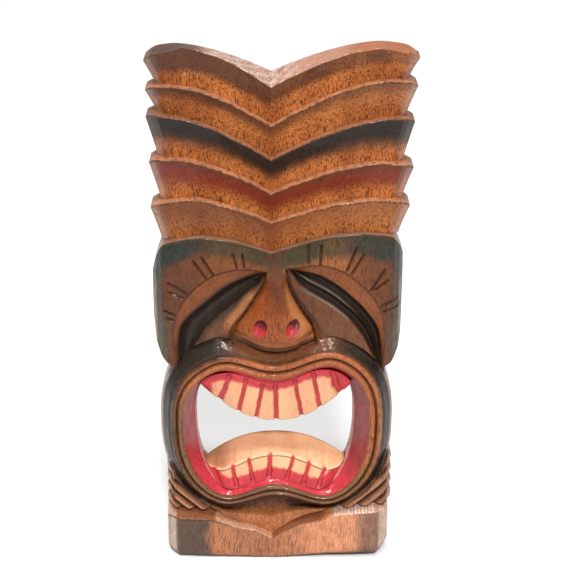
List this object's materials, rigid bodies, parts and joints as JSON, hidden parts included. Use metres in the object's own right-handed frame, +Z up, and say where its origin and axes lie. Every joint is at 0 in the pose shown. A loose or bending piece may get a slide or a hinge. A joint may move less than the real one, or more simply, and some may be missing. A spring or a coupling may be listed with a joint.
{
  "type": "tiki figure",
  "caption": "Carved wooden wall mask with an arched chevron crown, hooded eyes, an open painted mouth with teeth, and a folded D-ring hanger on its flat back.",
  "frame": {"origin": "middle of the flat sawn back, halfway up and halfway across the mask", "axes": "+Z up as it hangs, +Y out of the back towards the wall, so that the carved face looks along -Y and +X is to the viewer's right"},
  "size_m": [0.25, 0.054, 0.508],
  "materials": {
    "dark_stain": "varnished",
    "stained_wood": "varnished",
    "black_wash": "varnished over a black airbrushed band",
    "red_wash": "varnished over a red airbrushed band",
    "green_wash": "varnished over a green airbrushed edge",
    "tooth_tan": "bare pale wood with glossy crimson gums",
    "zinc_steel": "zinc plated"
  },
  "bodies": {
    "mask": {"crown_tier_1": "dark_stain", "crown_tier_2": "stained_wood", "crown_tier_3": "black_wash", "crown_tier_4": "red_wash", "crown_tier_5": "stained_wood", "face_panel": "green_wash", "nose": "stained_wood", "lip_ring": "stained_wood", "upper_teeth": "tooth_tan", "lower_teeth": "tooth_tan", "leaves_left": "dark_stain", "leaves_right": "dark_stain", "chin": "dark_stain", "base_block": "stained_wood", "hanger_strap": "zinc_steel", "hanger_screws": "zinc_steel"},
    "ring": {"hanger_ring": "zinc_steel"}
  },
  "joints": [
    {"name": "ring_hinge", "type": "hinge", "parent": "mask", "child": "ring", "pos_m": [0, -0.00367, 0.14], "axis": [-1, 0, 0], "range_deg": [0, 170]}
  ]
}
